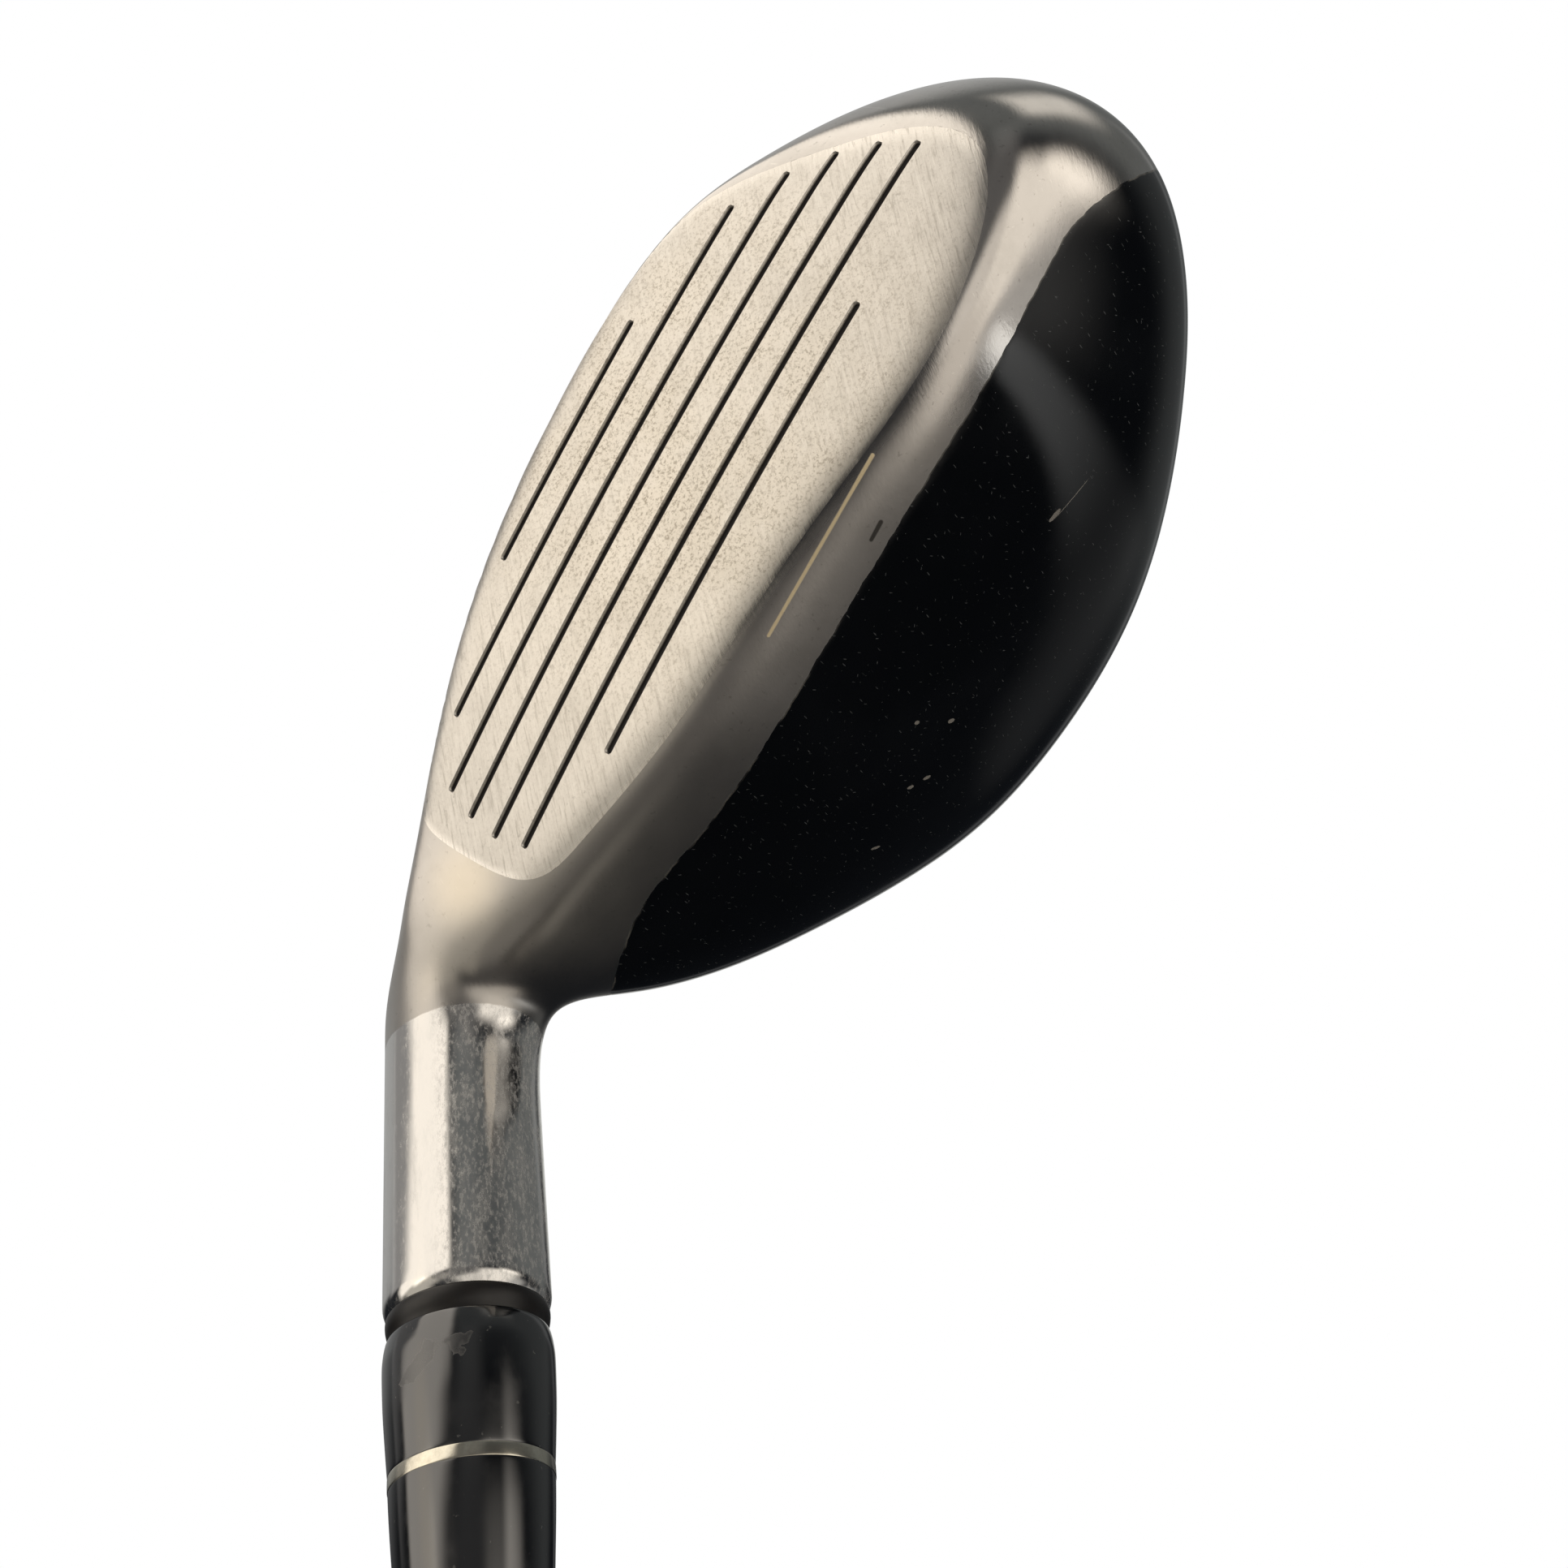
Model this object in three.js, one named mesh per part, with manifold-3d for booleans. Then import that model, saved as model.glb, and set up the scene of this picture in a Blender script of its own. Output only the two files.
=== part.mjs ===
// Hybrid golf club, right handed, at its address position. Millimetres.
// +Z up, +Y towards the target, +X towards the toe. The sole's contact patch is at the origin.
import * as THREE from "three";
import Module from "manifold-3d";

const wasm = await Module();
wasm.setup();

// ---- driving dimensions ----
const deg = Math.PI / 180;
const lie = 60 * deg;
const loft = 22 * deg;
const faceHeight = 16.9; // middle groove above the ground
const faceReach = 11.5; // face centre in front of the shaft axis
const faceToe = 10; // where the face's bulge has its apex
const bulge = 406;
const roll = 300;
const hosel = { axisX: -53.565, radius: 6.95, end: 49.39, bottom: 8 };
const gap = 0.3; // clearance between neighbouring pieces
const wall = 2.2; // cast wall of the head

// plan outline of the head: radii every 22.5 degrees from the toe, anticlockwise from above
const plan = {
  x: 0,
  y: -16,
  r: [50, 49.5, 39.5, 41, 44.5, 49, 55.5, 55, 45, 35, 32.5, 34.5, 35.5, 33.5, 32.5, 37],
};
// heights of the crown's crest and of the sole at stations 20 mm apart, from heel (x = -60) to toe
const station = { x: -60, step: 20 };
const crest = { z: [20.5, 25.5, 32.5, 33.5, 37, 31.5, 23], y: -2, back: 64.5, front: 60 };
const sole = { z: [15.5, 8, 1, -0.5, 0, 6.5, 21], y: -2, back: 110, front: 75 };
const blend = { topline: 4, rim: 15.5, sole: 10, neck: 10, heel: 3, root: 8 };
const ground = 0.7; // the sole is ground flat at this height, and the club is then set down on the flat

const grooves = {
  pitch: 3.56,
  width: 0.85,
  depth: 0.45,
  // heel and toe end of each, from the lowest, from the bulge's apex
  ends: [
    [-24.3, 0.4],
    [-38.9, 13.4],
    [-44.9, 18],
    [-45.7, 21.2],
    [-45.8, 23.3],
    [-44.8, 24.5],
    [-33.4, 10.1],
  ],
};
const plate = { inset: 2, thickness: 2.8, heel: -50.3, lean: 0.12 };
// front edge of the black crown, in plan, from the toe to the heel
const paintEdge = [
  [46.5, -14.5], [44.8, -11.8], [39.8, -6.6], [34.7, -3.5], [28.7, -2.4], [22.7, -2.1], [12.6, -2],
  [-1.4, -2.8], [-13.5, -3.5], [-24.9, -4], [-33.8, -4.2], [-39.2, -6], [-44.9, -10.3], [-47, -13],
];
const rimHeight = 14.5; // the crown's lower border at the rear
const shaftSize = { tip: 4.7, butt: 7.6, parallel: 75, wall: 1.5, start: 23.5, end: 1008 };
const bore = { radius: 5, bottom: 18.5 };
const ferrule = { collar: 2, ring: 12.85, ringWidth: 1.1, end: 27.5 };
const gripSize = { length: 268, low: 9.7, high: 13.1, cap: 1016 };

const axisFoot = new THREE.Vector3(hosel.axisX + faceHeight / Math.tan(lie), 0, 0);
const axisDir = new THREE.Vector3(-Math.cos(lie), 0, Math.sin(lie));

// ---- the head as a field: below 0 is metal ----
function cubic(list, t, wrap) {
  const n = list.length;
  const i = Math.floor(t);
  const u = t - i;
  const at = (k) => list[wrap ? (((i + k) % n) + n) % n : Math.min(Math.max(i + k, 0), n - 1)];
  const w = [(1 - u) ** 3, 3 * u ** 3 - 6 * u * u + 4, -3 * u ** 3 + 3 * u * u + 3 * u + 1, u ** 3];
  return (w[0] * at(-1) + w[1] * at(0) + w[2] * at(1) + w[3] * at(2)) / 6;
}

function smoothMax(a, b, k) {
  const h = Math.max(k - Math.abs(a - b), 0) / k;
  return Math.max(a, b) + (h * h * h * k) / 6;
}

const smoothMin = (a, b, k) => -smoothMax(-a, -b, k);

// height and slopes of a surface arched in y over a curve of heights in x
function arch(spec, x, y, sign) {
  const t = Math.min(Math.max((x - station.x) / station.step, 0), spec.z.length - 1.001);
  const dy = y - spec.y;
  const r = dy < 0 ? spec.back : spec.front;
  const z = cubic(spec.z, t) + (sign * dy * dy) / (2 * r);
  const ahead = cubic(spec.z, Math.min(t + 0.05, 5.99));
  const behind = cubic(spec.z, Math.max(t - 0.05, 0));
  return { z, slope: Math.hypot(1, dy / r, (ahead - behind) / (0.1 * station.step)) };
}

function faceField(x, y, z) {
  const dy = y - faceReach;
  const dz = z - faceHeight;
  const up = -dy * Math.sin(loft) + dz * Math.cos(loft);
  const out = dy * Math.cos(loft) + dz * Math.sin(loft);
  return out + (x - faceToe) ** 2 / (2 * bulge) + up ** 2 / (2 * roll);
}

function borderFields(x, y, z) {
  const top = arch(crest, x, y, -1);
  const bottom = arch(sole, x, y, 1);
  const dx = x - plan.x;
  const dy = y - plan.y;
  const turn = (Math.atan2(dy, dx) / (2 * Math.PI) + 1) * plan.r.length;
  const r = cubic(plan.r, turn, true);
  const change = cubic(plan.r, turn + 0.02, true) - cubic(plan.r, turn - 0.02, true);
  const dr = (change / 0.04) * (plan.r.length / 2 / Math.PI);
  return {
    crown: (z - top.z) / top.slope,
    sole: (bottom.z - z) / bottom.slope,
    side: ((Math.hypot(dx, dy) - r) * r) / Math.hypot(r, dr),
  };
}

function headField(x, y, z) {
  const f = borderFields(x, y, z);
  const body = smoothMax(
    smoothMax(smoothMax(f.crown, f.side, blend.rim), f.sole, blend.sole),
    faceField(x, y, z),
    blend.topline,
  );
  const q = new THREE.Vector3(x, y, z).sub(axisFoot);
  const s = q.dot(axisDir);
  const off = q.addScaledVector(axisDir, -s).length();
  const neck = smoothMax(off - hosel.radius, hosel.bottom - s, blend.root);
  return smoothMax(smoothMin(body, neck, blend.neck), f.sole, blend.heel);
}

// the point of the surface furthest towards the toe
function toePoint(level) {
  const p = new THREE.Vector3(44, -12, 18);
  const e = 0.01;
  for (let i = 0; i < 400; i++) {
    const g = new THREE.Vector3(
      headField(p.x + e, p.y, p.z) - headField(p.x - e, p.y, p.z),
      headField(p.x, p.y + e, p.z) - headField(p.x, p.y - e, p.z),
      headField(p.x, p.y, p.z + e) - headField(p.x, p.y, p.z - e),
    ).divideScalar(2 * e);
    const n = g.clone().normalize();
    p.addScaledVector(n, -(headField(p.x, p.y, p.z) - level) / g.length());
    p.add(new THREE.Vector3(1, 0, 0).addScaledVector(n, -n.x).multiplyScalar(3));
  }
  return p;
}

// ---- section planes: along the head, round the heel, then up the hosel ----
const pivot = new THREE.Vector3(-46, 0, 37);

function sectionPlanes(level, toHosel, fine) {
  const toe = toePoint(level);
  const planes = [];
  const middle = new THREE.Vector3(30, -12, 17);
  for (let i = fine - 1; i > 0; i--) {
    const x = middle.x + (toe.x - middle.x) * Math.sin((i / fine) * Math.PI * 0.5);
    const t = (x - middle.x) / (toe.x - middle.x);
    const c = middle.clone().lerp(toe, t).setX(x);
    planes.push({ c, up: new THREE.Vector3(0, 0, 1) });
  }
  const last = toHosel ? pivot.x : -36;
  const count = Math.round(fine * 1.8);
  for (let i = 0; i <= count; i++) {
    const x = middle.x + ((last - middle.x) * i) / count;
    const t = (middle.x - x) / (middle.x - pivot.x);
    planes.push({ c: new THREE.Vector3(x, -12 + 13 * t ** 3, 17 - t), up: new THREE.Vector3(0, 0, 1) });
  }
  if (!toHosel) return { toe, planes };
  for (let i = 1; i <= fine; i++) {
    const a = ((i / fine) * 60) * deg;
    const up = new THREE.Vector3(Math.sin(a), 0, Math.cos(a));
    const reach = 21 + (16.9 - 21) * (i / fine);
    planes.push({ c: pivot.clone().addScaledVector(up, -reach).setY(1 - i / fine), up });
  }
  for (const s of [36, 41, hosel.end]) {
    const up = new THREE.Vector3(Math.sin(lie), 0, Math.cos(lie));
    planes.push({ c: axisFoot.clone().addScaledVector(axisDir, s), up });
  }
  return { toe, planes };
}

// one ring of points where the plane meets the field's level, closer together where the outline turns
function ringOf(section, level, count) {
  const rays = 240;
  const at = (angle, r) => new THREE.Vector3(section.c.x, section.c.y, section.c.z)
    .addScaledVector(new THREE.Vector3(0, 1, 0), -Math.cos(angle) * r)
    .addScaledVector(section.up, Math.sin(angle) * r);
  const hit = (angle) => {
    let r = 0;
    let low = 0;
    for (let k = 0; k < 400; k++) {
      const p = at(angle, r);
      const v = headField(p.x, p.y, p.z) - level;
      if (v > 0) break;
      low = r;
      r += Math.max(-v * 0.5, 0.05);
    }
    for (let k = 0; k < 30; k++) {
      const m = (low + r) / 2;
      const p = at(angle, m);
      if (headField(p.x, p.y, p.z) > level) r = m;
      else low = m;
    }
    return at(angle, (low + r) / 2);
  };
  const pts = Array.from({ length: rays }, (_, i) => hit((i / rays) * 2 * Math.PI));
  const load = [0];
  const total = pts.reduce((sum, p, i) => sum + p.distanceTo(pts[(i + 1) % rays]), 0);
  for (let i = 0; i < rays; i++) {
    const a = pts[i].clone().sub(pts[(i + rays - 1) % rays]);
    const b = pts[(i + 1) % rays].clone().sub(pts[i]);
    load.push(load[i] + b.length() / total + 0.22 * a.angleTo(b));
  }
  const ring = [];
  let j = 0;
  for (let i = 0; i < count; i++) {
    const want = (load[rays] * i) / count;
    while (load[j + 1] < want) j++;
    const u = (want - load[j]) / (load[j + 1] - load[j]);
    ring.push(hit(((j + u) / rays) * 2 * Math.PI));
  }
  return ring;
}

function solidFromTriangles(points, triangles) {
  const vertProperties = new Float32Array(points);
  const triVerts = new Uint32Array(triangles);
  return new wasm.Manifold(new wasm.Mesh({ numProp: 3, vertProperties, triVerts }));
}

// closed skin over the sections at one level of the field
function skin(level, toHosel, count, fine) {
  const { toe, planes } = sectionPlanes(level, toHosel, fine);
  const points = [...toe.toArray()];
  const triangles = [];
  const rings = planes.map((p) => ringOf(p, level, count));
  for (const ring of rings) for (const p of ring) points.push(...p.toArray());
  const id = (r, i) => 1 + r * count + (i % count);
  for (let i = 0; i < count; i++) triangles.push(0, id(0, i), id(0, i + 1));
  for (let r = 0; r + 1 < rings.length; r++)
    for (let i = 0; i < count; i++) {
      triangles.push(id(r, i), id(r + 1, i), id(r + 1, i + 1));
      triangles.push(id(r, i), id(r + 1, i + 1), id(r, i + 1));
    }
  const last = planes[planes.length - 1].c;
  const end = points.length / 3;
  points.push(...last.toArray());
  for (let i = 0; i < count; i++) triangles.push(end, id(rings.length - 1, i + 1), id(rings.length - 1, i));
  const made = solidFromTriangles(points, triangles);
  if (made.volume() > 0) return made;
  for (let i = 0; i < triangles.length; i += 3)
    [triangles[i + 1], triangles[i + 2]] = [triangles[i + 2], triangles[i + 1]];
  return solidFromTriangles(points, triangles);
}

// a three.js geometry, moved by a matrix, as a solid
function solidOf(geometry, matrix) {
  const g = geometry.clone().applyMatrix4(matrix || new THREE.Matrix4());
  const flat = g.index ? g.toNonIndexed() : g;
  const position = flat.attributes.position;
  const seen = new Map();
  const points = [];
  const triangles = [];
  for (let i = 0; i < position.count; i++) {
    const p = [position.getX(i), position.getY(i), position.getZ(i)];
    const key = p.map((v) => Math.round(v * 1e4)).join();
    if (!seen.has(key)) {
      seen.set(key, points.length / 3);
      points.push(...p);
    }
    triangles.push(seen.get(key));
  }
  const kept = [];
  for (let i = 0; i < triangles.length; i += 3) {
    const [a, b, c] = triangles.slice(i, i + 3);
    if (a !== b && b !== c && a !== c) kept.push(a, b, c);
  }
  if (matrix && matrix.determinant() < 0)
    for (let i = 0; i < kept.length; i += 3) [kept[i + 1], kept[i + 2]] = [kept[i + 2], kept[i + 1]];
  return solidFromTriangles(points, kept);
}

function meshOf(solid, name, material) {
  const m = solid.getMesh();
  const g = new THREE.BufferGeometry();
  g.setAttribute("position", new THREE.BufferAttribute(new Float32Array(m.vertProperties), 3));
  g.setIndex(new THREE.BufferAttribute(new Uint32Array(m.triVerts), 1));
  g.computeVertexNormals();
  const mesh = new THREE.Mesh(g, material);
  mesh.name = name;
  return mesh;
}

// a prism over a plan outline, from z0 to z1
function planPrism(outline, z0, z1) {
  const shape = new THREE.Shape(outline.map((p) => new THREE.Vector2(p[0], p[1])));
  const g = new THREE.ExtrudeGeometry(shape, { depth: z1 - z0, bevelEnabled: false });
  return solidOf(g, new THREE.Matrix4().makeTranslation(0, 0, z0));
}

// a prism standing on the face plane: outline in face coordinates, between two depths along its normal
function facePrism(outline, out0, out1) {
  const shape = new THREE.Shape(outline.map((p) => new THREE.Vector2(p[0], p[1])));
  const g = new THREE.ExtrudeGeometry(shape, { depth: out1 - out0, bevelEnabled: false });
  return solidOf(g, faceMatrix(out1));
}

function faceMatrix(out) {
  const x = new THREE.Vector3(1, 0, 0);
  const y = new THREE.Vector3(0, -Math.sin(loft), Math.cos(loft));
  const n = new THREE.Vector3(0, Math.cos(loft), Math.sin(loft));
  const origin = new THREE.Vector3(faceToe, faceReach, faceHeight).addScaledVector(n, out);
  return new THREE.Matrix4().makeBasis(x, y, n.clone().negate()).setPosition(origin);
}

// an outline cast from a centre: the distance in each direction where the test passes 0
function castOutline(cx, cy, count, test, limit) {
  const outline = [];
  for (let i = 0; i < count; i++) {
    const a = (i / count) * 2 * Math.PI;
    let r = 1;
    while (r < limit && test(cx + Math.cos(a) * r, cy + Math.sin(a) * r) < 0) r += 0.1;
    outline.push([cx + Math.cos(a) * r, cy + Math.sin(a) * r]);
  }
  return outline;
}

function facePoint(u, v) {
  const sag = u ** 2 / (2 * bulge) + v ** 2 / (2 * roll);
  const n = new THREE.Vector3(0, Math.cos(loft), Math.sin(loft));
  return new THREE.Vector3(faceToe + u, faceReach - v * Math.sin(loft), faceHeight + v * Math.cos(loft))
    .addScaledVector(n, -sag);
}

function plateOutline(inset) {
  return castOutline(-8, 1, 40, (u, v) => {
    const p = facePoint(u, v);
    const f = borderFields(p.x, p.y, p.z);
    const heelEdge = plate.heel + inset - u + plate.lean * (v - 4);
    return Math.max(f.crown + inset, f.side + inset, f.sole + inset, heelEdge);
  }, 60);
}

function soleOutline(inset) {
  return castOutline(4, -14, 30, (x, y) => {
    const z = arch(sole, x, y, 1).z;
    const f = borderFields(x, y, z);
    return Math.max(f.side + inset, faceField(x, y, z) + inset, z + 0.14 * inset - 5.5, -30 + inset - x);
  }, 60);
}

const outer = skin(0, true, 46, 12);
const inner = skin(-wall, false, 26, 7);
const above = planPrism([[-90, -90], [90, -90], [90, 60], [-90, 60]], ground, 80);
const solidHead = outer.intersect(above);
const shell = solidHead.subtract(inner);

// ---- face plate ----
const grooveCutters = grooves.ends.map((ends, i) => {
  const v = (i - 3) * grooves.pitch;
  const sag = (u) => -(u ** 2) / (2 * bulge) - v ** 2 / (2 * roll);
  const n = 6;
  const shape = new THREE.Shape();
  for (let k = 0; k <= n; k++) {
    const u = ends[0] + ((ends[1] - ends[0]) * k) / n;
    const lift = k === 0 || k === n ? 0.1 : 0;
    shape[k ? "lineTo" : "moveTo"](u, sag(u) - grooves.depth + lift);
  }
  shape.lineTo(ends[1] + 0.5, 1.5);
  shape.lineTo(ends[0] - 0.5, 1.5);
  const g = new THREE.ExtrudeGeometry(shape, { depth: grooves.width, bevelEnabled: false });
  const x = new THREE.Vector3(1, 0, 0);
  const up = new THREE.Vector3(0, -Math.sin(loft), Math.cos(loft));
  const out = new THREE.Vector3(0, Math.cos(loft), Math.sin(loft));
  const origin = new THREE.Vector3(faceToe, faceReach, faceHeight).addScaledVector(up, v - grooves.width / 2);
  return solidOf(g, new THREE.Matrix4().makeBasis(x, out, up).setPosition(origin));
});
let facePlate = solidHead.intersect(facePrism(plateOutline(plate.inset), -plate.thickness, 7));
for (const cutter of grooveCutters) facePlate = facePlate.subtract(cutter);

// ---- crown, sole plate and body ----
const rear = [[-47, -90], [90, -90], [90, -14.5]];
const moved = (d) => paintEdge.map((p, i) => {
  const a = paintEdge[Math.max(i - 1, 0)];
  const b = paintEdge[Math.min(i + 1, paintEdge.length - 1)];
  const l = Math.hypot(b[0] - a[0], b[1] - a[1]);
  return [p[0] - ((b[1] - a[1]) / l) * d, p[1] + ((b[0] - a[0]) / l) * d];
});
const crownTool = planPrism([...rear, ...moved(0)], rimHeight, 80);
const crownRoom = planPrism([[-47.3, -90], [90.3, -90], [90.3, -14.2], ...moved(-gap)], rimHeight - gap, 81);
const solePrism = planPrism(soleOutline(6), -1, 8);
const soleRoom = planPrism(soleOutline(6 - gap), -1, 8 + gap);
const crown = shell.intersect(crownTool);
const solePlate = shell.intersect(solePrism);

function alongAxis(profile, segments) {
  const g = new THREE.LatheGeometry(profile.map((p) => new THREE.Vector2(p[0], p[1])), segments);
  const turn = new THREE.Quaternion().setFromUnitVectors(new THREE.Vector3(0, 1, 0), axisDir);
  return solidOf(g, new THREE.Matrix4().compose(axisFoot, turn, new THREE.Vector3(1, 1, 1)));
}

// closed profile [radius, distance along the axis], outside going up, then back down the inside
const tube = (outside, inside) => {
  const loop = [...outside, ...inside.slice().reverse()];
  return [...loop, loop[0]];
};
const rod = (r, a, b) => [[0, a], [r, a], [r, b], [0, b]];

const body = shell
  .subtract(facePrism(plateOutline(plate.inset - gap), -plate.thickness - gap, 7.3))
  .subtract(crownRoom)
  .subtract(soleRoom)
  .subtract(alongAxis(rod(bore.radius, bore.bottom, hosel.end + 2), 32));

// ---- shaft, ferrule and grip, turned round the shaft's axis ----
function shaftRadius(s) {
  const t = (s - shaftSize.parallel) / (shaftSize.end - shaftSize.parallel);
  return shaftSize.tip + (shaftSize.butt - shaftSize.tip) * Math.max(t, 0);
}
const gripStart = gripSize.cap - gripSize.length;
const shaftStops = [shaftSize.start, shaftSize.parallel, gripStart - 6, shaftSize.end - 6];
const shaft = alongAxis(
  tube(
    shaftStops.map((s, i) => [shaftRadius(s), s]),
    shaftStops.map((s) => [shaftRadius(s) - shaftSize.wall, s]),
  ),
  28,
);
const plug = alongAxis([[0, 19.2], [3.9, 19.2], [4.4, 19.8], [4.4, 22.8], [0, 22.8]], 24);
const tipWeight = alongAxis([[0, 24], [2.6, 24], [2.8, 24.4], [2.8, 36.5], [2.2, 37.5], [0, 37.5]], 24);

const f0 = hosel.end;
// ferrule pieces: outside radius at distances above the hosel's end, over the shaft
const ferrulePiece = (stops) => {
  const outside = stops.map(([r, h]) => [r, f0 + h]);
  const low = outside[0][1];
  const high = outside[outside.length - 1][1];
  return alongAxis(tube(outside, [[bore.radius, low], [bore.radius, high]]), 32);
};
const collar = ferrulePiece([[6.5, 0.15], [6.72, 0.45], [6.72, 1.1], [6.5, ferrule.collar - gap]]);
const ringTop = ferrule.ring + ferrule.ringWidth;
const ferruleLow = ferrulePiece([
  [6.55, ferrule.collar],
  [6.74, 2.3],
  [6.9, 3.2],
  [6.94, 4.6],
  [6.84, 7.5],
  [6.66, 10.2],
  [6.47, ferrule.ring - gap],
]);
const ring = ferrulePiece([[6.45, ferrule.ring], [6.43, ringTop]]);
const ferruleHigh = ferrulePiece([
  [6.4, ringTop + gap],
  [6.2, 17.5],
  [5.95, 21],
  [5.7, 24.5],
  [5.5, 26.8],
  [5.25, ferrule.end],
]);

const tapeStops = [gripStart + 2, shaftSize.end - 7];
const tapeLayer = (lift) => tapeStops.map((s) => [shaftRadius(s) + lift, s]);
const tape = alongAxis(tube(tapeLayer(0.7), tapeLayer(gap)), 32);
const gripRadius = (s) => {
  const t = (s - gripStart) / (gripSize.cap - gripStart);
  return gripSize.low + (gripSize.high - gripSize.low) * t ** 1.25;
};
const gripOutside = [[shaftRadius(gripStart) + 1.2, gripStart], [gripSize.low, gripStart + 1.5]];
for (let i = 1; i <= 8; i++) {
  const s = gripStart + 1.5 + ((gripSize.length - 12) * i) / 8;
  gripOutside.push([gripRadius(s), s]);
}
gripOutside.push([13.5, gripSize.cap - 8.5]);
gripOutside.push([13.6, gripSize.cap - 5]);
gripOutside.push([13, gripSize.cap - 1.6]);
gripOutside.push([11.5, gripSize.cap]);
gripOutside.push([1.6, gripSize.cap]);
const gripInside = [gripStart, gripSize.cap - 10].map((s) => [shaftRadius(s) + 1, s]);
const grip = alongAxis(
  [...gripOutside, [1.6, gripSize.cap - 10], ...gripInside.slice().reverse(), gripOutside[0]],
  32,
);

// ---- the part ----
const metal = (color, roughness) => new THREE.MeshStandardMaterial({ color, metalness: 1, roughness });
const coat = (color, roughness) => new THREE.MeshStandardMaterial({ color, metalness: 0, roughness });

const group = new THREE.Group();
group.name = "hybrid_club";
group.position.z = -ground;
group.add(meshOf(body, "head_body", metal(0xb9b4ac, 0.3)));
group.add(meshOf(facePlate, "face_plate", metal(0xc9c4ba, 0.45)));
group.add(meshOf(crown, "crown_shell", coat(0x0b0c0e, 0.15)));
group.add(meshOf(solePlate, "sole_plate", metal(0xb4b0a8, 0.3)));
group.add(meshOf(plug, "hosel_plug", coat(0xd8d2c0, 0.7)));
group.add(meshOf(tipWeight, "tip_weight", metal(0xb08d4f, 0.4)));
group.add(meshOf(collar, "ferrule_collar", coat(0x1c120c, 0.35)));
group.add(meshOf(ferruleLow, "ferrule_lower", coat(0x0a0a0b, 0.2)));
group.add(meshOf(ring, "ferrule_trim_ring", metal(0xd6cfbd, 0.25)));
group.add(meshOf(ferruleHigh, "ferrule_upper", coat(0x0a0a0b, 0.2)));
group.add(meshOf(shaft, "shaft", coat(0x141518, 0.2)));
group.add(meshOf(tape, "grip_tape", coat(0xd9cfb2, 0.8)));
group.add(meshOf(grip, "grip", coat(0x17181a, 0.8)));

export default group;
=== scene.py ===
import math

import bpy
import numpy as np
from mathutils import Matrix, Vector


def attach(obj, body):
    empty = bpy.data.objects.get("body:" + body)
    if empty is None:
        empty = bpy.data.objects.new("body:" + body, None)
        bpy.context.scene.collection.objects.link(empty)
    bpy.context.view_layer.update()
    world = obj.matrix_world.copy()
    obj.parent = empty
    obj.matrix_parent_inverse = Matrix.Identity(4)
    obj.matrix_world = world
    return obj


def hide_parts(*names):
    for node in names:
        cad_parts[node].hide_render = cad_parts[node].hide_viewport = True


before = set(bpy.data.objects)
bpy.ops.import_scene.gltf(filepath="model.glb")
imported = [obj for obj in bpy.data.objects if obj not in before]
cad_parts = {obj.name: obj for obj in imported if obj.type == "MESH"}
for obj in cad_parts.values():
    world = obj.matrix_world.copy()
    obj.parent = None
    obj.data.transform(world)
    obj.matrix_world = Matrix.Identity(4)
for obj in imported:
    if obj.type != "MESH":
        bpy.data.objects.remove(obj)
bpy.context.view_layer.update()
bpy.ops.object.select_all(action="DESELECT")
print("frame loaded")

mm = 0.001

view = {"place": (-4.5, 78.71, 152.54), "turn": (-23.917, -27.46, -55.097), "lens": 39.05}  # mm, degrees
bpy.ops.object.camera_add(
    location=[v * mm for v in view["place"]],
    rotation=[math.radians(a) for a in view["turn"]],
)
camera = bpy.context.object
camera.name = "camera"
camera.data.lens = view["lens"]
camera.data.sensor_width = 36
camera.data.clip_start = 0.005
camera.data.clip_end = 30
bpy.context.scene.camera = camera


class Wire:
    # an output socket that takes part in Python sums
    def __init__(self, look, socket):
        self.look = look
        self.socket = socket

    def maths(self, operation, first, second):
        return self.look.add("ShaderNodeMath", {"operation": operation}, {0: first, 1: second})

    def __add__(self, other):
        return self.maths("ADD", self, other)

    def __radd__(self, other):
        return self.maths("ADD", other, self)

    def __sub__(self, other):
        return self.maths("SUBTRACT", self, other)

    def __rsub__(self, other):
        return self.maths("SUBTRACT", other, self)

    def __mul__(self, other):
        return self.maths("MULTIPLY", self, other)

    def __rmul__(self, other):
        return self.maths("MULTIPLY", other, self)

    def __truediv__(self, other):
        return self.maths("DIVIDE", self, other)

    def __rtruediv__(self, other):
        return self.maths("DIVIDE", other, self)

    def __pow__(self, other):
        return self.maths("POWER", self, other)


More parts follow.
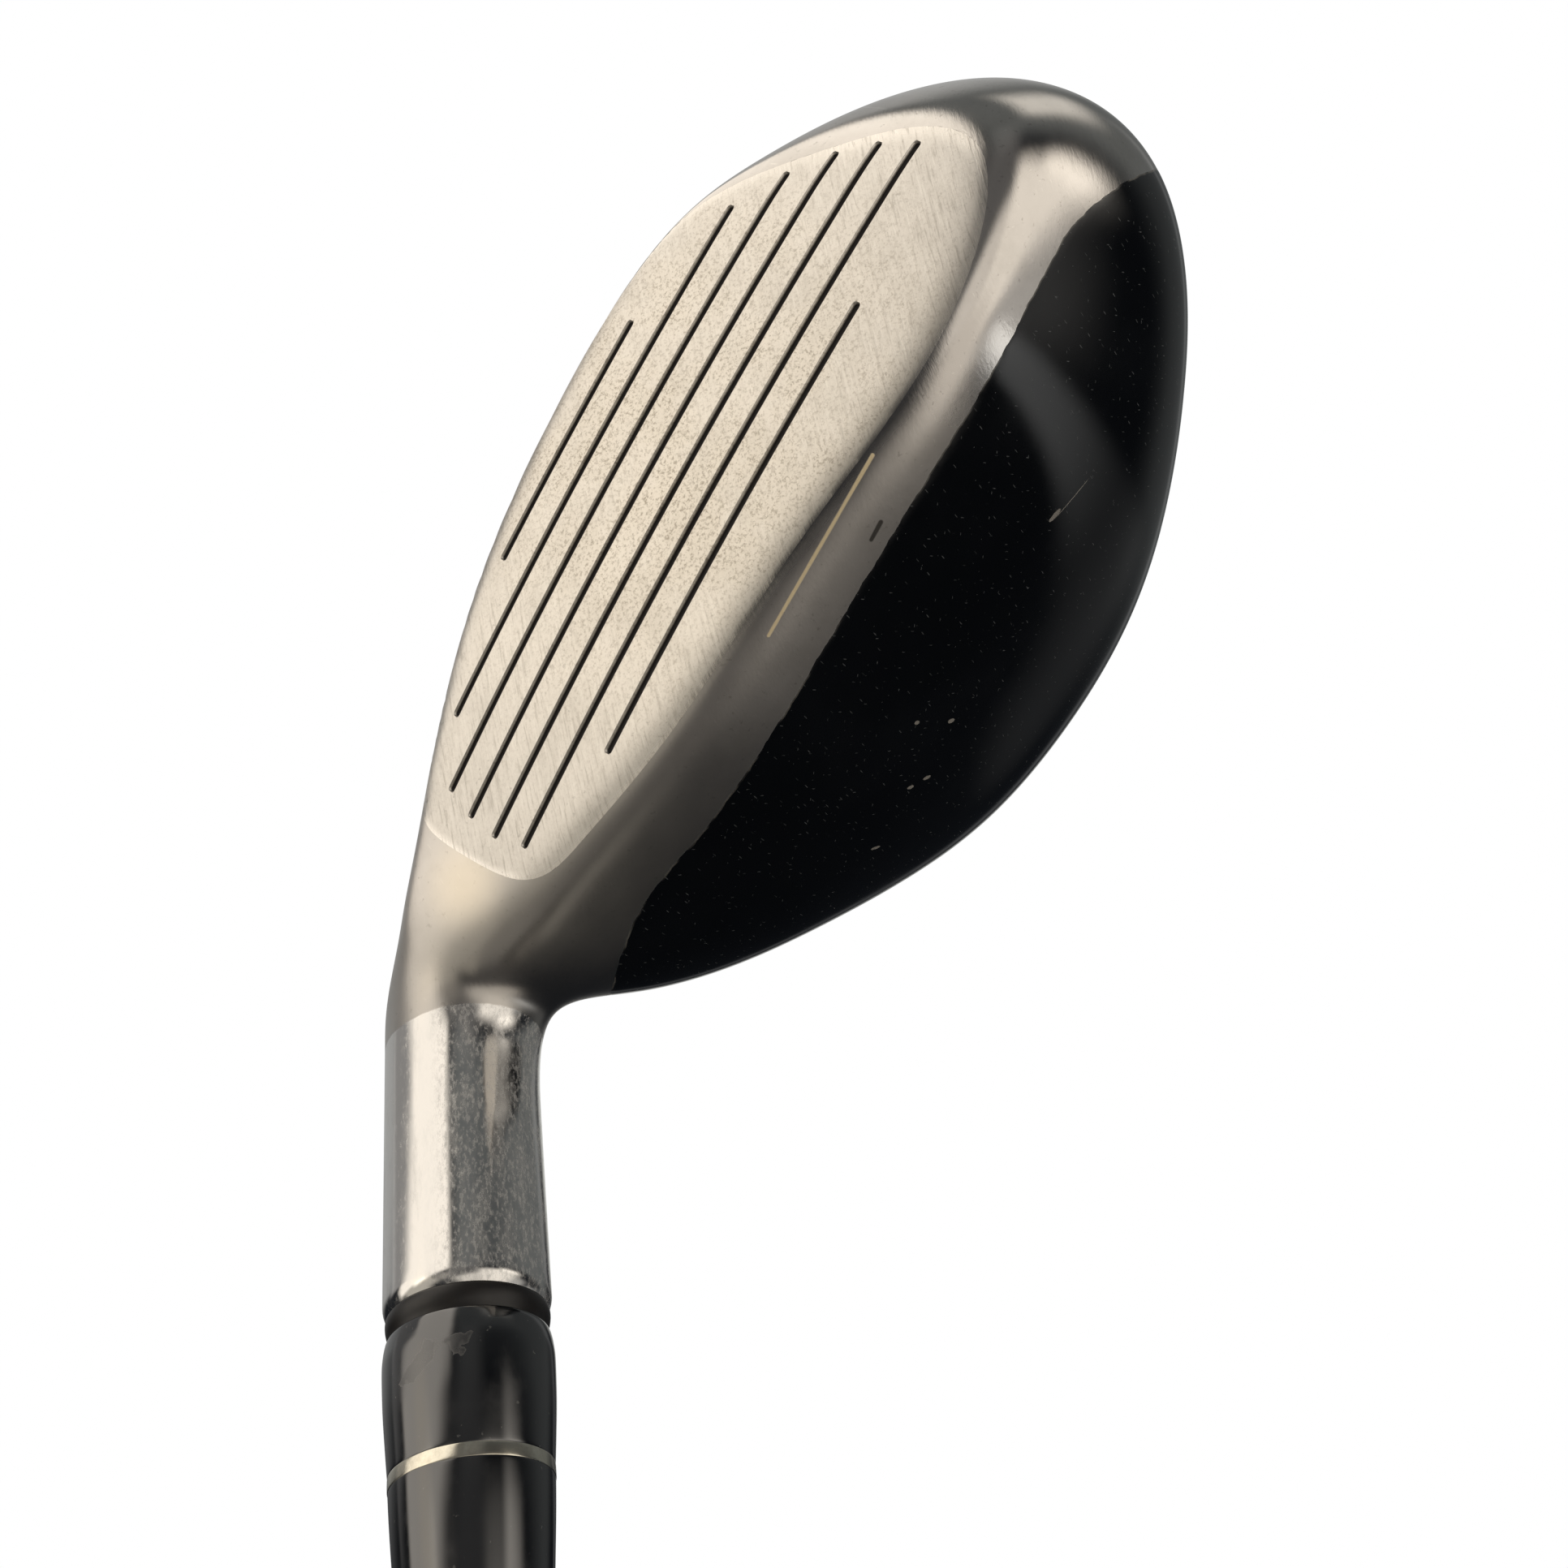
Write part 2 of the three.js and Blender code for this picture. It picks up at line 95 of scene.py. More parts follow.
class Look:
    # a material, with one way of adding any node
    def __init__(self, name, tree=None):
        if tree is None:
            self.material = bpy.data.materials.new(name)
            self.material.use_nodes = True
            tree = self.material.node_tree
        self.tree = tree
        tree.nodes.clear()

    def add(self, kind, settings=None, values=None, out=0):
        node = self.tree.nodes.new(kind)
        for key, value in (settings or {}).items():
            setattr(node, key, value)
        for key, value in (values or {}).items():
            if isinstance(value, Wire):
                self.tree.links.new(value.socket, node.inputs[key])
            else:
                node.inputs[key].default_value = value
        return Wire(self, node.outputs[out])

    def place(self):
        return self.add("ShaderNodeTexCoord", out="Object")

    def mark(self, name):
        # a value kept on the mesh's points
        return self.add("ShaderNodeAttribute", {"attribute_name": name}, out="Fac")

    def vector(self, operation, first, second, out="Vector"):
        return self.add("ShaderNodeVectorMath", {"operation": operation}, {0: first, 1: second}, out=out)

    def scaled(self, vector, amount):
        values = {0: vector, "Scale": amount}
        return self.add("ShaderNodeVectorMath", {"operation": "SCALE"}, values, out="Vector")

    def apart(self, first, second):
        return self.vector("DISTANCE", first, second, out="Value")

    def along(self, where, way):
        # distance along a direction
        return self.vector("DOT_PRODUCT", where, tuple(way), out="Value")

    def lined(self, where, first, second, third):
        # coordinates stretched along chosen directions: each is (direction, scale)
        parts = [self.along(where, way) * scale for way, scale in (first, second, third)]
        return self.add("ShaderNodeCombineXYZ", {}, {0: parts[0], 1: parts[1], 2: parts[2]})

    def noise(self, where, scale, detail=2, rough=0.5):
        values = {"Vector": where, "Scale": scale, "Detail": detail, "Roughness": rough}
        return self.add("ShaderNodeTexNoise", {}, values)

    def ramp(self, value, low, high):
        # 0 below low, 1 above high
        return self.add(
            "ShaderNodeMapRange",
            {"interpolation_type": "SMOOTHSTEP"},
            {"Value": value, "From Min": low, "From Max": high},
        )

    def blend(self, amount, first, second):
        return self.add("ShaderNodeMix", {"data_type": "RGBA"}, {0: amount, 6: first, 7: second}, out=2)

    def bump(self, height, strength, distance, normal=None):
        values = {"Height": height, "Strength": strength, "Distance": distance}
        if normal is not None:
            values["Normal"] = normal
        return self.add("ShaderNodeBump", {}, values)

    def finish(self, **values):
        # the shader itself: names use _ for spaces
        shader = self.add("ShaderNodeBsdfPrincipled", {}, {k.replace("_", " "): v for k, v in values.items()})
        self.end(shader)
        return self.material

    def end(self, shader, kind="ShaderNodeOutputMaterial"):
        out = self.tree.nodes.new(kind)
        self.tree.links.new(shader.socket, out.inputs["Surface"])


# the head's form, in mm
lie = math.radians(60)
loft = math.radians(22)
headForm = {
    "faceCentre": (10, 11.5, 16.9),
    "bulge": 406,
    "roll": 300,
    "hoselRadius": 6.95,
    "hoselEnd": 49.39,
    "hoselRoot": 8,
    "hoselRound": 1.2,
    "polishedFrom": 23.3,
    "ground": 0.7,
    "plan": (0, -16),
    "planRadii": [50, 49.5, 39.5, 41, 44.5, 49, 55.5, 55, 45, 35, 32.5, 34.5, 35.5, 33.5, 32.5, 37],
    "stations": (-60, 20),
    "crest": [20.5, 25.5, 32.5, 33.5, 37, 31.5, 23],
    "sole": [15.5, 8, 1, -0.5, 0, 6.5, 21],
    "archY": -2,
    "archRadii": {"crest": (64.5, 60), "sole": (110, 75)},  # behind and in front of archY
    "blends": {"topline": 4, "rim": 15.5, "sole": 10, "neck": 10, "heel": 3, "root": 8},
}
axisFoot = np.array([-53.565 + 16.9 / math.tan(lie), 0, 0])
axisDir = np.array([-math.cos(lie), 0, math.sin(lie)])
faceUp = np.array([0, -math.sin(loft), math.cos(loft)])
faceOut = np.array([0, math.cos(loft), math.sin(loft)])


def smoothCurve(values, t, closed=False):
    values = np.asarray(values, float)
    n = len(values)
    i = np.floor(t).astype(int)
    u = t - i

    def at(k):
        return values[(i + k) % n] if closed else values[np.clip(i + k, 0, n - 1)]

    return (
        (1 - u) ** 3 * at(-1)
        + (3 * u**3 - 6 * u**2 + 4) * at(0)
        + (-3 * u**3 + 3 * u**2 + 3 * u + 1) * at(1)
        + u**3 * at(2)
    ) / 6


def smoothMax(a, b, k):
    h = np.maximum(k - np.abs(a - b), 0) / k
    return np.maximum(a, b) + h**3 * k / 6


def archHeight(name, x, y, sign):
    heights = headForm[name]
    back, front = headForm["archRadii"][name]
    start, step = headForm["stations"]
    t = np.clip((x - start) / step, 0, 5.999)
    dy = y - headForm["archY"]
    r = np.where(dy < 0, back, front)
    z = smoothCurve(heights, t) + sign * dy**2 / (2 * r)
    after = smoothCurve(heights, np.minimum(t + 0.05, 5.99))
    before = smoothCurve(heights, np.maximum(t - 0.05, 0))
    slope = (after - before) / 2  # a tenth of a station is 2 mm
    return z, np.sqrt(1 + (dy / r) ** 2 + slope**2)


def faceDistance(p):
    q = p - np.array(headForm["faceCentre"])
    return q @ faceOut + q[..., 0] ** 2 / (2 * headForm["bulge"]) + (q @ faceUp) ** 2 / (2 * headForm["roll"])


def borderDistances(p):
    x, y, z = p[..., 0], p[..., 1], p[..., 2]
    top, topSlope = archHeight("crest", x, y, -1)
    low, lowSlope = archHeight("sole", x, y, 1)
    dx, dy = x - headForm["plan"][0], y - headForm["plan"][1]
    radii = headForm["planRadii"]
    turn = (np.arctan2(dy, dx) / (2 * np.pi) % 1) * len(radii)
    r = smoothCurve(radii, turn, True)
    dr = smoothCurve(radii, turn + 0.02, True) - smoothCurve(radii, turn - 0.02, True)
    dr = dr / 0.04 * len(radii) / (2 * np.pi)
    side = (np.hypot(dx, dy) - r) * r / np.hypot(r, dr)
    return (z - top) / topSlope, (low - z) / lowSlope, side


def headDistance(p):
    k = headForm["blends"]
    crown, sole, side = borderDistances(p)
    body = smoothMax(smoothMax(crown, side, k["rim"]), sole, k["sole"])
    body = smoothMax(body, faceDistance(p), k["topline"])
    q = p - axisFoot
    s = q @ axisDir
    off = np.linalg.norm(q - s[..., None] * axisDir, axis=-1)
    lip = np.clip((s - headForm["hoselEnd"]) / headForm["hoselRound"] + 1, 0, 1)
    neck = smoothMax(off - headForm["hoselRadius"] + 0.35 * lip**2, headForm["hoselRoot"] - s, k["root"])
    whole = smoothMax(-smoothMax(-body, -neck, k["neck"]), sole, k["heel"])
    return np.maximum(whole, headForm["ground"] - p[..., 2])


def toePoint():
    p = np.array([44.0, -12, 18])
    for _ in range(300):
        g = np.array([headDistance(p + e) - headDistance(p - e) for e in np.eye(3) * 0.01]) / 0.02
        n = g / np.linalg.norm(g)
        p = p - n * headDistance(p) / np.linalg.norm(g)
        p = p + (np.array([1.0, 0, 0]) - n * n[0]) * 3
    return p


skinFineness = {"toe": 70, "head": 190, "heel": 60, "hosel": 16, "round": 340}


def headSections():
    # centre and upward direction of each section, from the toe to the hosel's end
    toe = toePoint()
    middle = np.array([30.0, -12, 17])
    pivot = np.array([-46.0, 0, 37])  # the sections turn about this place, from the head to the hosel
    centres, ups = [], []
    for i in range(skinFineness["toe"] - 1, 0, -1):
        t = math.sin(i / skinFineness["toe"] * math.pi / 2)
        centres.append(middle + (toe - middle) * t)
        ups.append((0, 0, 1))
    for i in range(skinFineness["head"] + 1):
        t = i / skinFineness["head"]
        centres.append((30 - 76 * t, -12 + 13 * t**3, 17 - t))
        ups.append((0, 0, 1))
    for i in range(1, skinFineness["heel"] + 1):
        t = i / skinFineness["heel"]
        up = np.array([math.sin(t * math.pi / 3), 0, math.cos(t * math.pi / 3)])
        centres.append(pivot + (0, 1 - t, 0) - up * (21 - 4.1 * t))
        ups.append(up)
    low = (pivot - axisFoot) @ axisDir
    start = headForm["hoselEnd"] - headForm["hoselRound"]
    stops = list(np.linspace(low, start, skinFineness["hosel"])[1:])
    for s in stops + [start + headForm["hoselRound"] * t for t in (0.2, 0.4, 0.6, 0.75, 0.9, 1)]:
        centres.append(axisFoot + axisDir * s)
        ups.append((math.sin(lie), 0, math.cos(lie)))
    return toe, np.array(centres), np.array(ups, float)


def castRings(centres, ups, angles):
    # where rays from each section's centre leave the head
    way = -np.cos(angles)[..., None] * np.array([0, 1.0, 0]) + np.sin(angles)[..., None] * ups[:, None, :]
    base = centres[:, None, :]
    far = np.zeros(angles.shape)
    near = np.zeros(angles.shape)
    live = np.ones(angles.shape, bool)
    for _ in range(90):
        where = np.nonzero(live)
        if not len(where[0]):
            break
        v = headDistance((base + far[..., None] * way)[where])
        inside = v <= 0
        near[where] = np.where(inside, far[where], near[where])
        far[where] = np.where(inside, far[where] + np.maximum(-v * 0.6, 0.2), far[where])
        live[where] = inside
    for _ in range(16):
        half = (near + far) / 2
        inside = headDistance(base + half[..., None] * way) <= 0
        near = np.where(inside, half, near)
        far = np.where(inside, far, half)
    return base + ((near + far) / 2)[..., None] * way


def headSkin():
    toe, centres, ups = headSections()
    rays = 180
    coarse = np.tile(np.arange(rays) / rays * 2 * np.pi, (len(centres), 1))
    ring = castRings(centres, ups, coarse)
    ahead = np.roll(ring, -1, 1) - ring
    behind = ring - np.roll(ring, 1, 1)
    length = np.linalg.norm(ahead, axis=-1)
    cosine = (ahead * behind).sum(-1) / (length * np.linalg.norm(behind, axis=-1) + 1e-9)
    load = length / length.sum(1, keepdims=True) + 0.14 * np.arccos(np.clip(cosine, -1, 1))
    load = np.concatenate([np.zeros((len(centres), 1)), np.cumsum(load, 1)], 1)
    count = skinFineness["round"]
    share = np.arange(count) / count
    turns = np.arange(rays + 1) / rays * 2 * np.pi
    angles = np.array([np.interp(share * row[-1], row, turns) for row in load])
    rings = castRings(centres, ups, angles)
    points = np.concatenate([[toe], rings.reshape(-1, 3)])
    faces = []
    for i in range(count):
        faces.append((0, 1 + (i + 1) % count, 1 + i))
    a = 1 + np.arange(count)
    b = 1 + (np.arange(count) + 1) % count
    for r in range(len(centres) - 1):
        for i in range(count):
            faces.append((a[i] + r * count, b[i] + r * count, b[i] + (r + 1) * count, a[i] + (r + 1) * count))
    return points, faces


def cutByField(points, faces, field):
    # splits the faces along field = 0 and returns the points and the faces on either side
    points = list(map(tuple, points))
    field = np.where(np.abs(field) < 0.015, 0.0, field)
    made = {}
    sides = ([], [])

    def crossing(i, j):
        key = (min(i, j), max(i, j))
        if key not in made:
            t = field[i] / (field[i] - field[j])
            points.append(tuple(np.array(points[i]) * (1 - t) + np.array(points[j]) * t))
            made[key] = len(points) - 1
        return made[key]

    values = np.sign(field)
    for face in faces:
        signs = values[list(face)]
        if (signs >= 0).all():
            sides[1].append(face)
            continue
        if (signs <= 0).all():
            sides[0].append(face)
            continue
        parts = ([], [])
        n = len(face)
        for k in range(n):
            i, j = face[k], face[(k + 1) % n]
            if signs[k] <= 0:
                parts[0].append(i)
            if signs[k] >= 0:
                parts[1].append(i)
            if signs[k] * signs[(k + 1) % n] < 0:
                c = crossing(i, j)
                parts[0].append(c)
                parts[1].append(c)
        for side in (0, 1):
            if len(parts[side]) > 2:
                sides[side].append(tuple(parts[side]))
    return np.array(points), sides[0], sides[1]


paintEdge = {
    "x": [-47, -44.9, -39.2, -33.8, -24.9, -13.5, -1.4, 12.6, 22.7, 28.7, 34.7, 39.8, 44.8, 46.5, 50],
    "y": [-13, -10.3, -6, -4.2, -4, -3.5, -2.8, -2, -2.1, -2.4, -3.5, -6.6, -11.8, -14.5, -20],
    "rim": 14.5,
    "heel": -47,
}
plateForm = {
    "inset": 1.0, "heel": -48.6, "grooveWidth": 0.72, "grooveDepth": 0.42, "pitch": 3.56, "wall": 2.0,
}
grooveEnds = [  # heel and toe end of each groove, from the lowest
    (-24.3, 0.4), (-38.9, 13.4), (-44.9, 18), (-45.7, 21.2), (-45.8, 23.3), (-44.8, 24.5), (-33.4, 10.1),
]


def throughPoints(xs, ys, x):
    # smooth curve through the points, y over x
    xs, ys = np.array(xs, float), np.array(ys, float)
    slope = np.gradient(ys, xs)
    i = np.clip(np.searchsorted(xs, x) - 1, 0, len(xs) - 2)
    h = xs[i + 1] - xs[i]
    t = np.clip((x - xs[i]) / h, 0, 1)
    start = (2 * t**3 - 3 * t**2 + 1) * ys[i] + (t**3 - 2 * t**2 + t) * h * slope[i]
    return start + (3 * t**2 - 2 * t**3) * ys[i + 1] + (t**3 - t**2) * h * slope[i + 1]


def crownField(p):
    # above 0 where the head is black
    x = p[:, 0]
    edge = throughPoints(paintEdge["x"], paintEdge["y"], x)
    lean = (throughPoints(paintEdge["x"], paintEdge["y"], x + 0.2) - edge) / 0.2
    ragged = 0.03 * np.sin(3.1 * x) + 0.03 * np.sin(1.7 * x + 1)
    ragged = ragged + 0.03 * np.sin(0.9 * x + 2) + 0.025 * np.sin(5.9 * x)
    front = (edge - p[:, 1]) / np.sqrt(1 + lean**2) + ragged
    return np.minimum(front, np.minimum(p[:, 2] - paintEdge["rim"], x - paintEdge["heel"]))


def plateField(p):
    # above 0 on the face plate
    k = headForm["blends"]
    crown, sole, side = borderDistances(p)
    u = p[:, 0] - headForm["faceCentre"][0]
    v = (p - np.array(headForm["faceCentre"])) @ faceUp
    border = smoothMax(smoothMax(crown, side, k["rim"]), sole, k["sole"]) + plateForm["inset"]
    heel = plateForm["heel"] - u + 0.12 * (v - 4)
    return np.minimum(-smoothMax(border, heel, 6), faceDistance(p) + 3)


soleForm = {"inset": 6, "rise": 4.66, "heel": -24, "top": 9}


def soleField(p):
    # above 0 on the sole plate
    side = borderDistances(p)[2]
    z = archHeight("sole", p[:, 0], p[:, 1], 1)[0]
    edge = np.maximum(side, faceDistance(p)) + soleForm["inset"]
    edge = np.maximum(edge, np.maximum(z - soleForm["rise"], soleForm["heel"] - p[:, 0]))
    return np.minimum(-edge, soleForm["top"] - p[:, 2])


setDown = np.array([0, 0, headForm["ground"]])  # the club stands on the flat of its sole


def meshPiece(name, points, faces, **marks):
    used = sorted({i for f in faces for i in f})
    renumber = {old: new for new, old in enumerate(used)}
    mesh = bpy.data.meshes.new(name)
    spots = [tuple((points[i] - setDown) * mm) for i in used]
    mesh.from_pydata(spots, [], [tuple(renumber[i] for i in f) for f in faces])
    for mark, values in marks.items():
        mesh.attributes.new(mark, "FLOAT", "POINT").data.foreach_set("value", values[used].astype(np.float32))
    mesh.validate()
    piece = bpy.data.objects.new(name, mesh)
    bpy.context.scene.collection.objects.link(piece)
    return piece


def makeActive(piece):
    bpy.ops.object.select_all(action="DESELECT")
    piece.select_set(True)
    bpy.context.view_layer.objects.active = piece


def giveWall(piece, thickness):
    makeActive(piece)
    solid = piece.modifiers.new("wall", "SOLIDIFY")
    solid.thickness = thickness * mm
    solid.offset = -1
    solid.use_rim = True
    bpy.ops.object.modifier_apply(modifier="wall")


def smoothShade(piece, angle=32):
    makeActive(piece)
    bpy.ops.object.shade_smooth_by_angle(angle=math.radians(angle))


def settle(piece, look, *nodes):
    piece.data.materials.clear()
    piece.data.materials.append(look)
    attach(piece, "root")
    if nodes:
        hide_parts(*nodes)


def headNormals(p):
    steps = np.eye(3) * 0.02
    g = np.stack([headDistance(p + e) - headDistance(p - e) for e in steps], -1)
    return g / np.linalg.norm(g, axis=-1, keepdims=True)


skinPoints, skinFaces = headSkin()
print("head skin", len(skinPoints), len(skinFaces))
allPoints, rest, crownFaces = cutByField(skinPoints, skinFaces, crownField(skinPoints))
allPoints, rest, plateFaces = cutByField(allPoints, rest, plateField(allPoints))
allPoints, bodyFaces, soleFaces = cutByField(allPoints, rest, soleField(allPoints))
seam = np.clip(np.abs(soleField(allPoints)), 0, 5)
headShell = meshPiece("headShell", allPoints, bodyFaces, seam=seam)
paintDepth = crownField(allPoints)
paintLift = 0.02 * np.clip(paintDepth / 0.25, 0, 1)[:, None] * headNormals(allPoints)
crownPanel = meshPiece("crownPanel", allPoints + paintLift, crownFaces, paint=np.clip(paintDepth, 0, 5))
solePanel = meshPiece("solePanel", allPoints, soleFaces, seam=seam)
shellWall = 1.4
for piece in (headShell, crownPanel, solePanel):
    giveWall(piece, shellWall)
    smoothShade(piece)
print("head pieces", len(bodyFaces), len(crownFaces), len(soleFaces), len(plateFaces))


def grooveAt(k):
    # how far up the face a groove lies: the fourth passes its centre
    return (k - 3) * plateForm["pitch"]


def plateLines():
    # grid lines, close together round each groove's sides and ends
    beside = np.array([-0.6, -0.5, -0.44, -0.4, -0.36, -0.32, -0.28, -0.24, -0.18, -0.08])
    us = set(np.round(np.arange(-52.0, 34.0, 0.5), 3))
    for pair in grooveEnds:
        for end in pair:
            us |= set(np.round(end + np.arange(-0.7, 0.71, 0.1), 3))
    vs = set(np.round(np.arange(-18.0, 22.0, 0.5), 3))
    for k in range(len(grooveEnds)):
        centre = grooveAt(k)
        vs |= set(np.round(centre + beside, 3))
        vs |= set(np.round(centre - beside, 3))
    return thinned(us, 0.035), thinned(vs, 0.035)


def thinned(values, least):
    kept = []
    for v in sorted(values):
        if not kept or v - kept[-1] > least:
            kept.append(v)
    return np.array(kept)


def grooveShape(u, v):
    # 0 on the face, 1 at the bottom of a groove
    deepest = np.zeros(u.shape)
    half = plateForm["grooveWidth"] / 2
    for k, (low, high) in enumerate(grooveEnds):
        du = np.maximum(np.maximum(low + half - u, u - high + half), 0)
        d = np.hypot(du, v - grooveAt(k)) - half
        t = np.clip((0.03 - d) / 0.2, 0, 1)
        deepest = np.maximum(deepest, t * t * (3 - 2 * t))
    return deepest


def facePlate():
    us, vs = plateLines()
    u, v = np.meshgrid(us, vs)
    points = np.array(headForm["faceCentre"]) + u[..., None] * np.array([1.0, 0, 0]) + v[..., None] * faceUp
    points = points.reshape(-1, 3)
    for _ in range(12):
        points = points - headDistance(points)[:, None] * faceOut
    deep = grooveShape(u.ravel(), v.ravel())
    field = plateField(points)
    stacked = np.concatenate([points, deep[:, None], field[:, None]], 1)
    w = len(us)
    faces = []
    keep = field > -1.5
    for j in range(len(vs) - 1):
        for i in range(w - 1):
            a = j * w + i
            if keep[a] and keep[a + 1] and keep[a + w] and keep[a + w + 1]:
                faces.append((a, a + w, a + w + 1, a + 1))
    stacked, _, inside = cutByField(stacked, faces, field)
    points, deep, field = stacked[:, :3], stacked[:, 3], np.clip(stacked[:, 4], 0, 9)
    points = points - deep[:, None] * plateForm["grooveDepth"] * faceOut
    piece = meshPiece("facePlate", points, inside, groove=deep, border=field)
    giveWall(piece, plateForm["wall"])
    smoothShade(piece, 50)
    return piece


facePiece = facePlate()
print("face plate", len(facePiece.data.polygons))


def turned(name, profile, sides=96):
    # a closed loop of (radius, distance along the axis), spun and laid on the shaft's axis
    mesh = bpy.data.meshes.new(name)
    count = len(profile)
    spots = [(r * mm, 0, s * mm) for r, s in profile]
    mesh.from_pydata(spots, [(i, (i + 1) % count) for i in range(count)], [])
    piece = bpy.data.objects.new(name, mesh)
    bpy.context.scene.collection.objects.link(piece)
    makeActive(piece)
    spin = piece.modifiers.new("spin", "SCREW")
    spin.steps = sides
    spin.render_steps = sides
    spin.use_merge_vertices = True
    spin.merge_threshold = 1e-6
    bpy.ops.object.modifier_apply(modifier="spin")
    bpy.ops.object.mode_set(mode="EDIT")
    bpy.ops.mesh.select_all(action="SELECT")
    bpy.ops.mesh.remove_doubles(threshold=1e-6)
    bpy.ops.mesh.normals_make_consistent(inside=False)
    bpy.ops.object.mode_set(mode="OBJECT")
    piece.rotation_euler = (0, -(math.pi / 2 - lie), 0)
    piece.location = Vector((axisFoot - setDown) * mm)
    makeActive(piece)
    bpy.ops.object.transform_apply(location=True, rotation=True, scale=True)
    smoothShade(piece, 35)
    return piece


def softProfile(stops, steps=6):
    # a smooth curve through the stops
    out = []
    stops = [np.array(s, float) for s in stops]
    for i in range(len(stops) - 1):
        p0, p1, p2, p3 = stops[max(i - 1, 0)], stops[i], stops[i + 1], stops[min(i + 2, len(stops) - 1)]
        for k in range(steps):
            t = k / steps
            square = 2 * p0 - 5 * p1 + 4 * p2 - p3
            cube = 3 * p1 - p0 - 3 * p2 + p3
            out.append(tuple(0.5 * (2 * p1 + (p2 - p0) * t + square * t**2 + cube * t**3)))
    return out + [tuple(stops[-1])]


end = headForm["hoselEnd"]
ferruleForm = {  # radius, and distance from the hosel's end
    "collar": [(6.6, 0.02), (6.72, 0.25), (6.74, 0.7), (6.66, 1.2), (6.5, 1.7), (6.42, 2.0)],
    "lower": [
        (6.45, 2.02), (6.62, 2.12), (6.76, 2.5), (6.9, 3.4), (6.95, 4.6),
        (6.86, 7.5), (6.68, 10.2), (6.49, 12.6), (6.44, 12.82),
    ],
    "ring": [(6.3, 12.84), (6.44, 12.86), (6.48, 13.0), (6.48, 13.8), (6.44, 13.95), (6.3, 13.97)],
    "upper": [
        (6.4, 14.0), (6.43, 14.1), (6.3, 16.5), (6.05, 20),
        (5.75, 24), (5.52, 26.6), (5.3, 27.3), (4.9, 27.5),
    ],
}
ferruleBore = 4.85


def ferrulePiece(name, key, sides=128):
    outside = softProfile([(r, end + s) for r, s in ferruleForm[key]])
    bottom, top = ferruleForm[key][0][1], ferruleForm[key][-1][1]
    return turned(name, outside + [(ferruleBore, end + top), (ferruleBore, end + bottom)], sides)


collar = ferrulePiece("ferruleCollar", "collar")
ferruleLow = ferrulePiece("ferruleLower", "lower")
trimRing = ferrulePiece("ferruleRing", "ring")
ferruleHigh = ferrulePiece("ferruleUpper", "upper")
print("ferrule")

# in mm; rows and round count the grip's slots along it and around it,
# and lines are its two grooves, from the lower and the upper end
shaftForm = {"tip": 4.7, "butt": 7.6, "parallel": 75, "start": 23.5, "end": 1002, "buttAt": 1008, "wall": 1.5}
gripForm = {"start": 748, "cap": 1016, "low": 9.7, "high": 13.1, "rows": 50, "round": 14, "lines": (12, 26)}
slotForm = {"from": 22, "pitch": 4.4, "halfLong": 1.1, "halfWide": 0.75, "deep": 0.4}


def shaftRadius(s):
    t = max((s - shaftForm["parallel"]) / (shaftForm["buttAt"] - shaftForm["parallel"]), 0)
    return shaftForm["tip"] + (shaftForm["butt"] - shaftForm["tip"]) * t


shaftStops = [shaftForm["start"], shaftForm["parallel"], 200, 400, 600, 800, shaftForm["end"]]
outside = [(shaftRadius(s), s) for s in shaftStops]
inside = [(shaftRadius(s) - shaftForm["wall"], s) for s in reversed(shaftStops)]
shaftTube = turned("shaftTube", outside + inside, 96)


